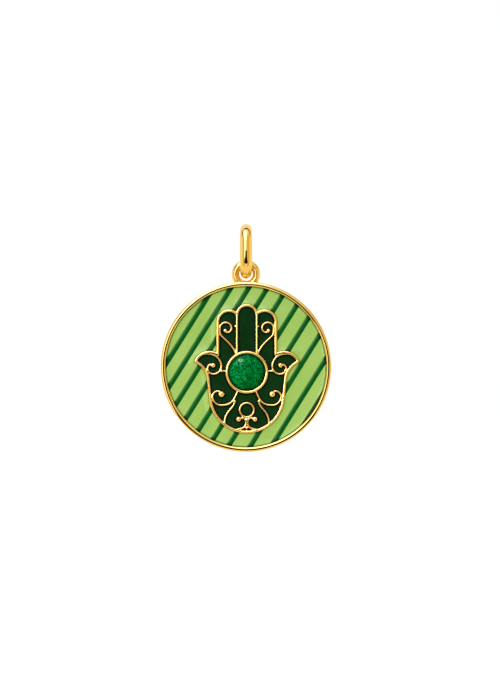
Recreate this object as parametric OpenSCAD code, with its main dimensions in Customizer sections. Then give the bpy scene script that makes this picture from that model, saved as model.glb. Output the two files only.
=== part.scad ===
// Hamsa pendant: an enamelled disc with a raised hand, hung from a bail by its soldered eyelet.
// The origin is the inside top of the bail, where a chain rests. The front faces -Y, and +Z is up.

/* [Bail] */
// Overall height of the bail
bail_h = 7.1; // [6.4:0.1:9]
// Overall depth of the bail from front to back
bail_depth = 5; // [4.8:0.1:6]
// Thickness of the bail's wire
bail_wire = 1.46; // [1.2:0.02:1.5]
// Play between the bail and the eyelet that hangs on it
link_gap = 0.04; // [0.02:0.01:0.1]

/* [Eyelet] */
// Diameter of the hole in the eyelet
eyelet_hole = 1.76; // [1.7:0.02:2.2]
// Thickness of the eyelet's wire
eyelet_wire = 0.96; // [0.8:0.02:1]
// Height of the eyelet's middle above the edge of the disc
eyelet_rise = 0.98; // [0.9:0.02:1.2]

/* [Disc] */
// Diameter of the disc
disc_d = 22; // [21:0.1:26]
// Thickness of the disc at its rim
disc_t = 1.8; // [1.5:0.1:2.4]
// Width of the rounded rim
rim_w = 0.7; // [0.5:0.05:1]
// Thickness of the metal behind the enamel
plate_t = 0.8; // [0.6:0.05:1]
// Depth of the light enamel below the crest of the rim
field_sink = 0.3; // [0.2:0.05:0.4]

/* [Stripes] */
// Angle of the stripes above the horizontal
stripe_angle = 58; // [40:0.2:80]
// Width of a dark stripe
stripe_w = 0.78; // [0.5:0.02:1]
// Height of a stripe's domed top above the light enamel
stripe_crown = 0.12; // [0.06:0.01:0.2]
// Depth of a stripe below the face of the light enamel
stripe_depth = 0.3; // [0.15:0.05:0.35]

/* [Hand] */
// Overall height of the hand
hand_h = 16.7; // [16:0.1:18]
// Height of the hand's middle above the middle of the disc
hand_lift = -0.22; // [-0.5:0.02:0.3]
// Offset of the hand's middle to the right of the middle of the disc
hand_shift = 0.1; // [-0.2:0.02:0.2]
// Height of the gold lines above the light enamel
hand_raise = 0.5; // [0.3:0.05:0.8]
// Depth of the dark enamel below the top of the gold lines
pool_sink = 0.16; // [0.08:0.02:0.25]
// Thickness of the dark enamel
pool_t = 0.3; // [0.2:0.05:0.4]
// Width of the middle finger
middle_w = 2.86; // [2.6:0.02:3.2]
// Height of the middle finger's tip above the tips beside it
middle_step = 0.71; // [0.5:0.01:1]
// Width across the three fingers
fingers_w = 7.82; // [7.4:0.02:8.2]
// Radius of the tips of the outer fingers
fingertip_r = 1.61; // [1.5:0.01:1.8]
// Diameter of the rounded heel of the palm
palm_d = 9.8; // [9.4:0.1:10.4]
// Radius of a thumb's rounded top
thumb_r = 2.1; // [1.9:0.05:2.3]
// Distance of a thumb's middle from the middle of the hand
thumb_out = 4.82; // [4.6:0.02:5.1]
// Height of a thumb's middle above the middle of the palm's heel
thumb_up = 3.64; // [3.4:0.02:3.9]
// Radius of the hollow under a thumb
thumb_bite_r = 2.6; // [2.3:0.05:2.9]

/* [Gold lines] */
// Width of the hand's outline
wall_w = 0.35; // [0.28:0.01:0.4]
// Width of the bars beside the middle finger
bar_w = 0.3; // [0.24:0.01:0.36]
// Width of a scroll's wire
wire_w = 0.23; // [0.2:0.01:0.28]
// Radius of the solder in the corners between the lines
web_r = 0.1; // [0.06:0.01:0.14]
// Clear width between the loop of a finger's scroll and the bar beside it
scroll_gap = 0.42; // [0.3:0.02:0.6]
// Diameter of the curl of a palm scroll
palm_loop = 1.4; // [1.2:0.02:1.5]
// Diameter of the ring below the stone
ring_d = 2.06; // [1.8:0.02:2.2]
// Height of the knot of curls between that ring and the outline
knot_h = 1.92; // [1.8:0.02:2.1]

/* [Stone] */
// Diameter of the round stone
stone_d = 4.72; // [4.4:0.02:5]
// Height of the stone's dome
stone_dome = 0.62; // [0.4:0.02:1]
// Height of the stone's middle above the middle of the palm's heel
stone_up = 2.98; // [2.8:0.02:3.2]
// Width of the bezel around the stone
bezel_w = 0.38; // [0.3:0.01:0.44]
// Height of the bezel above the gold lines
bezel_raise = 0.08; // [0.04:0.01:0.2]

/* [Hidden] */
$fn = 72;

// Clearance between two pieces that are set against each other
fit = 0.02;
// How far two lines that are soldered together run into each other
lap = 0.02;
// Largest turn between two points of a drawn curve, and the steps of a long bend
curve_step = 20;
bend_steps = 8;

// The bail's arcs join on rays from their middles, which run this far across and this far up.
// The middles keep to a fine grid, so that two arcs meet face to face
BAIL_RAY = [24, 7];
BAIL_GRID = 0.005;

// Levels, measured to the front from the middle of the disc's thickness
back_level = -disc_t / 2;
plate_level = back_level + plate_t;
crest_level = disc_t / 2;
field_level = crest_level - field_sink;
hand_level = field_level + hand_raise;
pool_level = hand_level - pool_sink;
floor_level = pool_level - pool_t;
bezel_level = hand_level + bezel_raise;

// Heights on the Z axis
bail_bar_z = 1.5 * bail_wire - bail_h;
eyelet_z = bail_bar_z - (eyelet_hole - bail_wire) / 2 + link_gap;
disc_r = disc_d / 2;
disc_z = eyelet_z - eyelet_rise - disc_r;
field_r = disc_r - rim_w;

// Places in the plane of the disc, measured from its middle
hand_top = hand_lift + hand_h / 2;
hand_foot = hand_lift - hand_h / 2;
palm_r = palm_d / 2;
heel = [0, hand_foot + palm_r];
middle_r = middle_w / 2;
bar_x = middle_r - bar_w / 2;
side_x = fingers_w / 2;
side_top = hand_top - middle_step;
stone_at = heel + [0, stone_up];
bezel_in_r = stone_d / 2 + fit;
bezel_r = bezel_in_r + bezel_w;
bezel_mid_r = bezel_r - bezel_w / 2;
thumb_at = heel + [thumb_out, thumb_up];
ring_r = ring_d / 2 - wire_w / 2;
knot_foot = hand_foot + wall_w / 2;
ring_at = [0, knot_foot + knot_h + ring_r];

// The hollow under a thumb is a circle, and the palm's side runs straight from it to the heel's circle.
// Its middle lies at this bearing from the heel, this many times as far as if the two circles touched
BITE_BEARING = 13.1;
BITE_REACH = 1.058;
bite_at = heel + polar(BITE_REACH * (palm_r + thumb_bite_r), BITE_BEARING);
side_turn = BITE_BEARING - acos(1 / BITE_REACH);

// Dark stripes from left to right, as shares of the disc's radius from its middle
STRIPE_SHARE = [-0.816, -0.641, -0.465, -0.278, -0.08, 0.122, 0.317, 0.535, 0.745, 0.937];

// Scrolls as rows of a radius and a turn to the left in degrees.
// A finger's scroll in shares of its loop's diameter, from the finger's side to its end bead
FINGER_CURL = [[0.5, 180], [0.36, 90], [0.19, 80]];
// A thumb's scroll in shares of the thumb's radius: along its top, underneath, and in to its bead
THUMB_TOP = [[0.73, 70]];
THUMB_UNDER = [[0.486, 90], [0.357, 90]];
THUMB_CURL = [[0.24, 90], [0.12, 60]];
// A palm scroll in shares of its curl's diameter, from the outline to its bead and to its low point
PALM_CURL = [[0.5, 90], [0.32, 85]];
PALM_SWEEP = [[0.8, -90]];
// Half of the knot in shares of its height, from its waist up to the bead and down to the outline
KNOT_ARM = [[0.26, -115]];
KNOT_FOOT = [[0.37, 80]];

// Radii of the beads at the scrolls' ends, in widths of their wire
finger_bead_r = 0.95 * wire_w;
thumb_bead_r = 1.2 * wire_w;
palm_bead_r = 1.55 * wire_w;
knot_bead_r = 1.3 * wire_w;
small_bead_r = 0.65 * wire_w;

function polar(r, a) = [r * cos(a), r * sin(a)];
function flipped(points) = [for (p = points) [-p[0], p[1]]];
function reversed(points) = [for (i = [len(points) - 1:-1:0]) points[i]];
function last(points) = points[len(points) - 1];
function after(points) = [for (i = [1:len(points) - 1]) points[i]];
function scaled(rows, size) = [for (row = rows) [row[0] * size, row[1]]];
function bearing(a, b) = atan2(b[1] - a[1], b[0] - a[0]);

// Points along a chain of arcs that starts at p with a heading, without p itself
function arcs(p, heading, rows, i = 0) =
    i >= len(rows) ? [] :
    let (
        r = rows[i][0],
        turn = rows[i][1],
        side = turn > 0 ? 90 : -90,
        centre = p + polar(r, heading + side),
        count = ceil(abs(turn) / curve_step),
        points = [for (k = [1:count]) centre + polar(r, heading - side + turn * k / count)]
    )
    concat(points, arcs(last(points), heading + turn, rows, i + 1));
function chain(p, heading, rows) = concat([p], arcs(p, heading, rows));

// A smooth bend from a to b, with its heading at both ends and the pull of each end
function bend(a, heading_a, b, heading_b, pull) =
    let (
        reach = norm(b - a) * pull,
        a2 = a + polar(reach, heading_a),
        b2 = b - polar(reach, heading_b)
    )
    [for (k = [0:bend_steps]) let (t = k / bend_steps, s = 1 - t)
        s * s * s * a + 3 * s * s * t * a2 + 3 * s * t * t * b2 + t * t * t * b];

// Lines of the right half of the hand. Each starts where it is soldered on.
finger_side = side_x - wall_w - wire_w / 2 + lap;
finger_loop = finger_side - wire_w / 2 - scroll_gap - middle_r;
finger_start = [finger_side, side_top - fingertip_r - 0.553 * finger_loop];
finger_curl = chain(finger_start, 90, scaled(FINGER_CURL, finger_loop));
finger_turn = chain(finger_start - [0, 0.267 * finger_loop], 270, [[0.63 * finger_loop, -48]]);
finger_foot = stone_at + polar(bezel_mid_r, 58);
finger_fall = bend(last(finger_turn), 222, finger_foot, 255, 0.36);
finger_tail = concat([finger_start], finger_turn, after(finger_fall));

thumb_eye = thumb_at + [0, 0.27 * thumb_r - wall_w - wire_w / 2 + lap];
thumb_start = thumb_at + polar(thumb_r - wall_w / 2 - lap, 50);
thumb_bend = thumb_eye + polar(0.73 * thumb_r, 110);
thumb_top = concat(bend(thumb_start, 140, thumb_bend, 200, 0.34),
    arcs(thumb_bend, 200, scaled(THUMB_TOP, thumb_r)));
thumb_under = chain(last(thumb_top), 270, scaled(THUMB_UNDER, thumb_r));
thumb_curl = chain(last(thumb_under), 90, scaled(THUMB_CURL, thumb_r));
nub_start = thumb_under[2];
nub_end = stone_at + polar(bezel_mid_r, bearing(stone_at, nub_start));
nub = [nub_start, nub_end];

palm_start = heel + [palm_r - wall_w - wire_w / 2 - lap, -0.15];
palm_curl = chain(palm_start, 90, scaled(PALM_CURL, palm_loop));
palm_turn = chain(palm_start, 270, scaled(PALM_SWEEP, palm_loop));
palm_end = stone_at + polar(bezel_mid_r, -64);
palm_sweep = concat(palm_turn, after(bend(last(palm_turn), 180, palm_end, 112, 0.48)));

foot_join = palm_sweep[len(palm_sweep) - 5];
foot_start = foot_join + palm_loop * [-0.24, 0.01];
foot_knee = foot_start + palm_loop * [0.43, -0.77];
foot_end = heel + polar(palm_r - wall_w / 2, -53);
foot_line = concat(bend(foot_start, -82, foot_knee, -47, 0.36), after(bend(foot_knee, -47, foot_end, -97, 0.36)));

knot_waist = [wire_w / 2 - lap / 2, knot_foot + 0.68 * knot_h];
knot_arm = chain(knot_waist, 90, scaled(KNOT_ARM, knot_h));
knot_bead = last(knot_arm) + polar(0.14 * knot_h, -25);
knot_low = chain(knot_waist - [0, 0.08 * knot_h], 270, scaled(KNOT_FOOT, knot_h));
knot_end = last(knot_low) + polar(0.34 * knot_h, -15);

nub_z = side_top - fingertip_r - 0.387 * finger_loop;
bar_nub = [[bar_x, nub_z], [middle_r + scroll_gap / 2, nub_z]];

// Lays a solid on the disc, at a level to the front, and to the right where it belongs to the hand
module laid(level, shift = 0) {
    translate([shift, -level, disc_z]) rotate([90, 0, 0]) children();
}

module both_sides() {
    children();
    mirror([1, 0]) children();
}

// A line of even width along a path
module line(path, w) {
    n = len(path) - 1;
    ways = [for (i = [0:n]) bearing(path[max(i - 1, 0)], path[min(i + 1, n)])];
    left = [for (i = [0:n]) path[i] + polar(w / 2, ways[i] + 90)];
    right = [for (i = [n:-1:0]) path[i] - polar(w / 2, ways[i] + 90)];
    polygon(concat(left, right));
}

module dot(at, r) {
    translate(at) circle(r, $fn = 16);
}

// The hand's whole outline: palm, fingers and thumbs
module hand_shape() {
    touch = heel + polar(palm_r, side_turn);
    hollow = [for (k = [0:4]) bite_at - polar(thumb_bite_r, side_turn - 6 * k)];
    half = concat([heel, touch], hollow, [[0, last(hollow)[1]]]);
    translate(heel) circle(palm_r, $fn = 96);
    translate([-side_x, bite_at[1] - lap]) square([fingers_w, side_top - fingertip_r - bite_at[1]]);
    translate([-middle_r, heel[1]]) square([middle_w, hand_top - middle_r - heel[1]]);
    translate([0, hand_top - middle_r]) circle(middle_r, $fn = 40);
    both_sides() {
        polygon(half);
        translate([side_x - fingertip_r, side_top - fingertip_r]) circle(fingertip_r, $fn = 44);
        difference() {
            translate(thumb_at) circle(thumb_r, $fn = 56);
            translate(bite_at) rotate(side_turn) circle(thumb_bite_r, $fn = 60);
            translate([0, hollow[0][1] - disc_r]) square(disc_r);
        }
    }
}

// All gold lines as drawn, before the solder fills their corners
module hand_lines() {
    difference() {
        hand_shape();
        offset(delta = -wall_w) hand_shape();
    }
    both_sides() {
        translate([bar_x - bar_w / 2, stone_at[1]]) square([bar_w, hand_top - middle_r - stone_at[1]]);
        for (path = [finger_curl, finger_tail, thumb_top, thumb_under, thumb_curl, palm_curl,
            palm_sweep, foot_line, concat(knot_arm, [knot_bead]), concat(knot_low, [knot_end]),
            [knot_waist, knot_low[0]]]) line(path, wire_w);
        line(nub, 0.7 * wire_w);
        line(bar_nub, 0.8 * wire_w);
        dot(last(finger_curl), finger_bead_r);
        dot(last(thumb_curl), thumb_bead_r);
        dot(last(palm_curl), palm_bead_r);
        dot(knot_bead, knot_bead_r);
        dot(nub_start + polar(wire_w, bearing(nub_start, nub_end)), small_bead_r);
        dot(foot_start, small_bead_r);
    }
    dot([0, knot_foot + 0.28 * knot_h], small_bead_r);
    translate([-wire_w / 4, knot_foot]) square([wire_w / 2, 0.28 * knot_h]);
    dot([0, knot_waist[1] + 0.17 * knot_h], 0.65 * wire_w);
    translate(ring_at) circle(ring_r + wire_w / 2, $fn = 36);
    translate(stone_at) circle(bezel_r - lap, $fn = 72);
}

// The gold lines as they stand, seen from the front, with solder in their corners
module hand_plan() {
    difference() {
        offset(delta = -web_r) offset(delta = web_r) difference() {
            hand_lines();
            translate(ring_at) circle(ring_r - wire_w / 2, $fn = 36);
        }
        translate(stone_at) circle(bezel_mid_r, $fn = 72);
    }
}

// The pools of dark enamel between the lines that lie inside a drawn region
module pools(region, hole_r = 0) {
    offset(delta = fit) offset(delta = -2 * fit) difference() {
        intersection() {
            offset(delta = -wall_w / 2) hand_shape();
            polygon(region);
        }
        hand_plan();
        translate(stone_at) circle(bezel_r, $fn = 72);
        translate(ring_at) circle(hole_r, $fn = 36);
    }
}

// The bail is an oval of four arcs, round at its ends and gently bowed at its sides
module bail() {
    way = BAIL_RAY / norm(BAIL_RAY);
    spread = BAIL_GRID * round((bail_h - bail_depth) / 2 / (way[0] + way[1] - 1) / BAIL_GRID);
    end_at = spread * way[1];
    end_r = (bail_h - bail_wire) / 2 - end_at;
    across = [BAIL_RAY[0], 0];
    up = [0, BAIL_RAY[1]];
    top = [0, BAIL_RAY[0]];
    color("gold")
    translate([0, 0, bail_wire - bail_h / 2])
    rotate([90, 0, 90])
    for (turn = [0, 180]) rotate(turn) {
        translate([0, end_at]) bail_arc(end_r, [across + up, across + top, top - across, up - across]);
        translate([-spread * way[0], 0]) bail_arc(end_r + spread, [across + up, across - up]);
    }
}

// An arc of the bail's wire, kept to the region between rays from its middle
module bail_arc(r, rays) {
    intersection() {
        rotate_extrude() translate([r, 0]) circle(bail_wire / 2);
        translate([0, 0, -bail_wire]) linear_extrude(2 * bail_wire) polygon(concat([[0, 0]], rays));
    }
}

module medallion() {
    bead_r = rim_w / 2;
    color("gold") {
        laid(0) rotate_extrude() {
            translate([0, back_level]) square([disc_r - bead_r, plate_t]);
            translate([field_r, back_level + bead_r]) square([rim_w, disc_t - rim_w]);
            translate([disc_r - bead_r, back_level + bead_r]) circle(bead_r);
            translate([disc_r - bead_r, crest_level - bead_r]) circle(bead_r);
        }
        difference() {
            translate([0, 0, eyelet_z]) rotate([90, 0, 0])
                rotate_extrude() translate([(eyelet_hole + eyelet_wire) / 2, 0]) circle(eyelet_wire / 2);
            laid(-disc_t / 2) cylinder(disc_t, r = disc_r - bead_r);
        }
    }
}

// The light field around the hand
module field_plan() {
    difference() {
        circle(field_r - fit, $fn = 180);
        translate([hand_shift, 0]) offset(delta = fit) hand_shape();
    }
}

// The way of one stripe: a long bar with a domed top, fatter by a clearance
module stripe_bar(i, extra) {
    w = stripe_w + 2 * extra;
    rise = stripe_crown + extra;
    dome_r = (w * w / 4 + rise * rise) / (2 * rise);
    reach = 2 * disc_r;
    translate([0, 0, field_level])
    rotate([0, 0, stripe_angle])
    translate([0, -STRIPE_SHARE[i] * disc_r, 0])
    rotate([90, 0, 90])
    intersection() {
        translate([-w / 2, -stripe_depth - extra, -disc_r]) cube([w, stripe_depth + extra + rise, reach]);
        translate([0, rise - dome_r, -disc_r]) cylinder(reach, r = dome_r);
    }
}

module light_enamel() {
    color("yellowgreen")
    laid(0) difference() {
        translate([0, 0, plate_level + fit]) linear_extrude(field_level - plate_level - fit) field_plan();
        for (i = [0:len(STRIPE_SHARE) - 1]) stripe_bar(i, fit);
    }
}

module stripe(i) {
    color("darkgreen")
    laid(0) intersection() {
        stripe_bar(i, 0);
        linear_extrude(crest_level) field_plan();
    }
}

module hand_frame() {
    color("gold") laid(0, hand_shift) {
        translate([0, 0, plate_level + fit])
            linear_extrude(floor_level - plate_level - fit) offset(delta = -fit) hand_shape();
        translate([0, 0, floor_level]) linear_extrude(hand_level - floor_level) hand_plan();
        translate([stone_at[0], stone_at[1], 0]) rotate_extrude() {
            translate([bezel_in_r, floor_level]) square([bezel_w, bezel_level - bezel_w / 2 - floor_level]);
            translate([bezel_mid_r, bezel_level - bezel_w / 2]) circle(bezel_w / 2);
        }
    }
}

module stone() {
    r = stone_d / 2;
    dome_r = (r * r + stone_dome * stone_dome) / (2 * stone_dome);
    girdle = bezel_level - bezel_w / 4;
    color("seagreen")
    laid(0, hand_shift) translate([stone_at[0], stone_at[1], 0]) rotate_extrude() intersection() {
        translate([0, floor_level + fit]) square([r, girdle + stone_dome - floor_level]);
        translate([0, girdle + stone_dome - dome_r]) circle(dome_r, $fn = 256);
    }
}

// One pool of dark enamel, with a round hole where the ring stands in it
module pool(region, hole_r = 0) {
    color("darkslategray")
    laid(floor_level + fit, hand_shift) linear_extrude(pool_t - fit) pools(region, hole_r);
}

// Regions run along the middle of the lines, and outside the hand beyond its edge
out_x = side_x + 2 * thumb_r;
finger_region = concat(finger_tail, [stone_at, [bar_x, stone_at[1]], [bar_x, hand_top], [out_x, hand_top]],
    [[out_x, finger_start[1]]]);
wrist_region = concat(reversed(finger_tail), [thumb_at + [0, thumb_r]], thumb_top,
    [for (i = [0:2]) thumb_under[i]], [nub_end, stone_at]);
thumb_region = concat(thumb_top, thumb_under, [bite_at, thumb_at + [2 * thumb_r, thumb_r]]);
palm_region = concat([for (i = [2:len(thumb_under) - 1]) thumb_under[i]],
    [[out_x, bite_at[1]], [out_x, palm_start[1]]], palm_sweep, [stone_at, nub_end]);
corner_region = concat([for (i = [0:len(palm_sweep) - 5]) palm_sweep[i]], foot_line,
    [[out_x, hand_foot - 1], [out_x, palm_start[1]]]);
heel_half = concat([stone_at], [for (i = [len(palm_sweep) - 1:-1:len(palm_sweep) - 5]) palm_sweep[i]],
    foot_line, [foot_end + [0, -palm_r], [0, hand_foot - 1]]);
heel_region = concat(heel_half, reversed(flipped(heel_half)));
middle_region = [[-bar_x, stone_at[1]], [bar_x, stone_at[1]], [bar_x, hand_top], [-bar_x, hand_top]];
ring_region = [for (a = [0:30:330]) ring_at + polar(ring_r, a)];

SIDE_REGIONS = [["finger", finger_region], ["wrist", wrist_region], ["thumb", thumb_region],
    ["palm", palm_region], ["corner", corner_region]];

bail();
medallion();
light_enamel();
hand_frame();
stone();
for (i = [1:len(STRIPE_SHARE)])
    stripe(i - 1);
pool(middle_region);  // middle_finger_enamel
pool(ring_region);  // ring_enamel
pool(heel_region, ring_r);  // heel_enamel
for (row = SIDE_REGIONS) {
    pool(row[1]);
    pool(flipped(row[1]));
}
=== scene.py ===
import bpy, bmesh, math
from mathutils import Matrix, Vector
from mathutils.bvhtree import BVHTree
from mathutils.kdtree import KDTree


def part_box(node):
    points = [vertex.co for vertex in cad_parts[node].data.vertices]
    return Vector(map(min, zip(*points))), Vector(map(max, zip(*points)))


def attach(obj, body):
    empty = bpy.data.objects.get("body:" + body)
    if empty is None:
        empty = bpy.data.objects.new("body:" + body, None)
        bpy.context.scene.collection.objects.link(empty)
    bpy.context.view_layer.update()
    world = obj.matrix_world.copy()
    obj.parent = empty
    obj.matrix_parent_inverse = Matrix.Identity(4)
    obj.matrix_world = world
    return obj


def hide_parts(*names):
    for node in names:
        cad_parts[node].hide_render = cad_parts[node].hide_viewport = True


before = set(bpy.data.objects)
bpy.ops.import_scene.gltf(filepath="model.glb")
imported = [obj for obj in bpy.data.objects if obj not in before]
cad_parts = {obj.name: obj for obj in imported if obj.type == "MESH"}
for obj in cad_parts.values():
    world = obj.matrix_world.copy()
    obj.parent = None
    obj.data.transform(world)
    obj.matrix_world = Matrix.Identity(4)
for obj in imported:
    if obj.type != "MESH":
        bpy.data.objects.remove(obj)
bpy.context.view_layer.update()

mm = 0.001
scene = bpy.context.scene
print("frame loaded:", len(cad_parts), "nodes")

# All sizes are millimetres on the face of the disc: x to the right, z up from its middle, level to the front.
disc = dict(centreZ=-17.0, radius=11.0, fieldRadius=10.3, fieldLevel=0.6, crestLevel=0.9)
stripes = dict(angle=58, width=0.78, crown=0.05,
               shares=[-0.816, -0.641, -0.465, -0.278, -0.08, 0.122, 0.317, 0.535, 0.745, 0.937])
hand = dict(height=16.7, lift=-0.22, shift=0.1, middleW=2.86, middleStep=0.71, fingersW=7.82, tipR=1.61,
            palmD=9.8, thumbR=2.1, thumbOut=4.82, thumbUp=3.64, topLevel=1.1, poolLevel=0.94,
            biteR=2.6, biteAway=1.058, biteBearing=13.1)   # the hollow under a thumb, from the palm's middle
wires = dict(wall=0.35, bar=0.30, scroll=0.23, lap=0.02, gap=0.42, palmLoop=1.4, ringD=2.06, knotH=1.92,
             curveStep=8.0, bendSteps=18, sideSteps=12, fingerSteps=30)
gem = dict(diameter=4.72, up=2.98, dome=0.62, seat=0.66, bezelW=0.38, fit=0.02, bezelLevel=1.18,
           domeSteps=24, around=96)


# the plan of the hand's lines, as the solids have it
def cosd(a): return math.cos(math.radians(a))
def sind(a): return math.sin(math.radians(a))
def polar(r, a): return Vector((r * cosd(a), r * sind(a)))
def bearing(a, b): return math.degrees(math.atan2(b.y - a.y, b.x - a.x))


def chain(start, heading, rows, step=None):
    # points along arcs given as radius and turn to the left
    points = [start.copy()]
    for radius, turn in rows:
        side = 90 if turn > 0 else -90
        centre = points[-1] + polar(radius, heading + side)
        count = max(2, math.ceil(abs(turn) / (step or wires["curveStep"])))
        points += [centre + polar(radius, heading - side + turn * k / count) for k in range(1, count + 1)]
        heading += turn
    return points


def bend(a, headingA, b, headingB, pull):
    reach = (b - a).length * pull
    a2, b2 = a + polar(reach, headingA), b - polar(reach, headingB)
    steps = wires["bendSteps"]
    return [(1 - t) ** 3 * a + 3 * (1 - t) ** 2 * t * a2 + 3 * (1 - t) * t * t * b2 + t ** 3 * b
            for t in (k / steps for k in range(steps + 1))]


def arcPoints(centre, radius, fromAngle, toAngle, step=3.0):
    count = max(2, math.ceil(abs(toAngle - fromAngle) / step))
    return [centre + polar(radius, fromAngle + (toAngle - fromAngle) * k / count) for k in range(count + 1)]


def ringPoints(centre, radius, step):
    return arcPoints(centre, radius, 0, 360 - step, step)


def straight(a, b, steps):
    return [a.lerp(b, k / steps) for k in range(steps + 1)]


def meeting(c1, r1, c2, r2):
    # the upper place where two circles cross
    d = (c2 - c1).length
    along = (d * d + r1 * r1 - r2 * r2) / (2 * d)
    rise = math.sqrt(max(r1 * r1 - along * along, 0))
    u = (c2 - c1) / d
    points = [c1 + u * along + Vector((-u.y, u.x)) * s * rise for s in (1, -1)]
    return max(points, key=lambda p: p.y)


halfH = hand["height"] / 2
topZ, footZ = hand["lift"] + halfH, hand["lift"] - halfH
palmR, middleR, sideX = hand["palmD"] / 2, hand["middleW"] / 2, hand["fingersW"] / 2
sideTop = topZ - hand["middleStep"]
barX = middleR - wires["bar"] / 2
heel = Vector((0, footZ + palmR))
stoneAt = heel + Vector((0, gem["up"]))
bezelInR = gem["diameter"] / 2 + gem["fit"]
bezelMidR = bezelInR + gem["bezelW"] / 2
thumbAt = heel + Vector((hand["thumbOut"], hand["thumbUp"]))
thumbR = hand["thumbR"]
biteAt = heel + polar(hand["biteAway"] * (palmR + hand["biteR"]), hand["biteBearing"])
sideTurn = hand["biteBearing"] - math.degrees(math.acos(1 / hand["biteAway"]))
wireW, wallW, lap = wires["scroll"], wires["wall"], wires["lap"]
ringR = wires["ringD"] / 2 - wireW / 2
knotFoot = footZ + wallW / 2
knotH = wires["knotH"]
ringAt = Vector((0, knotFoot + knotH + ringR))


def scaled(rows, size): return [(r * size, turn) for r, turn in rows]


def outlinePaths():
    # middle of the outline's wall on the right half, in runs that meet at corners
    w = wallW / 2
    tip = meeting(biteAt, hand["biteR"] + w, thumbAt, thumbR - w)
    hollowEnd = bearing(biteAt, tip)
    side = [heel + polar(palmR - w, sideTurn), biteAt + polar(hand["biteR"] + w, 180 + sideTurn)]
    sideRun = straight(side[0], side[1], wires["sideSteps"])
    thumbEnd = math.degrees(math.acos((sideX - w - thumbAt.x) / (thumbR - w)))
    tipAt = Vector((sideX - hand["tipR"], sideTop - hand["tipR"]))
    tipEnd = math.degrees(math.acos((barX - tipAt.x) / (hand["tipR"] - w)))
    lowSide = Vector((sideX - w, thumbAt.y + (thumbR - w) * sind(thumbEnd)))
    return [
        arcPoints(heel, palmR - w, -90, sideTurn) + sideRun[1:-1]
        + arcPoints(biteAt, hand["biteR"] + w, 180 + sideTurn, hollowEnd),
        arcPoints(thumbAt, thumbR - w, bearing(thumbAt, tip), thumbEnd),
        straight(lowSide, Vector((sideX - w, tipAt.y)), wires["fingerSteps"])[:-1]
        + arcPoints(tipAt, hand["tipR"] - w, 0, tipEnd),
        arcPoints(Vector((0, topZ - middleR)), middleR - w, 90, 0),
    ]


# The lines inside the outline. Arcs are rows of radius and turn to the left. A foot is its bearing on the bezel
# or the heel. Other angles are headings, and lengths are shares of the size of the line's own loop.
scrolls = dict(fingerDown=0.553, fingerCurl=[(0.5, 180), (0.36, 90), (0.19, 80)], fingerStraight=0.267,
               fingerTurn=[(0.63, -48)], fingerHeadings=(222, 255), fingerFoot=58, fingerPull=0.36,
               fingerNubDown=0.387, fingerNubW=0.8,
               thumbEye=0.27, thumbMouth=50, thumbLoop=0.73, thumbHeadings=(140, 200), thumbTurn=70, thumbPull=0.34,
               thumbUnder=[(0.486, 90), (0.357, 90)], thumbCurl=[(0.24, 90), (0.12, 60)],
               thumbNubStep=20, thumbNubW=0.7,
               palmDown=0.15, palmCurl=[(0.5, 90), (0.32, 85)], palmTurn=[(0.8, -90)], palmHeadings=(180, 112),
               palmFoot=-64, palmPull=0.48,
               footStart=(-0.24, 0.01), footKnee=(0.43, -0.77), footHeadings=(-82, -47, -97), footEnd=-53,
               footPull=0.36, waist=0.68, armTurn=[(0.26, -115)], armOut=(0.14, -25), lowDown=0.08,
               lowTurn=[(0.37, 80)], lowOut=(0.34, -15),
               beads=(0.95, 1.2, 1.55, 1.3, 0.65, 0.65))   # finger, thumb, palm, knot's arm, thumb's nub, foot


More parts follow.
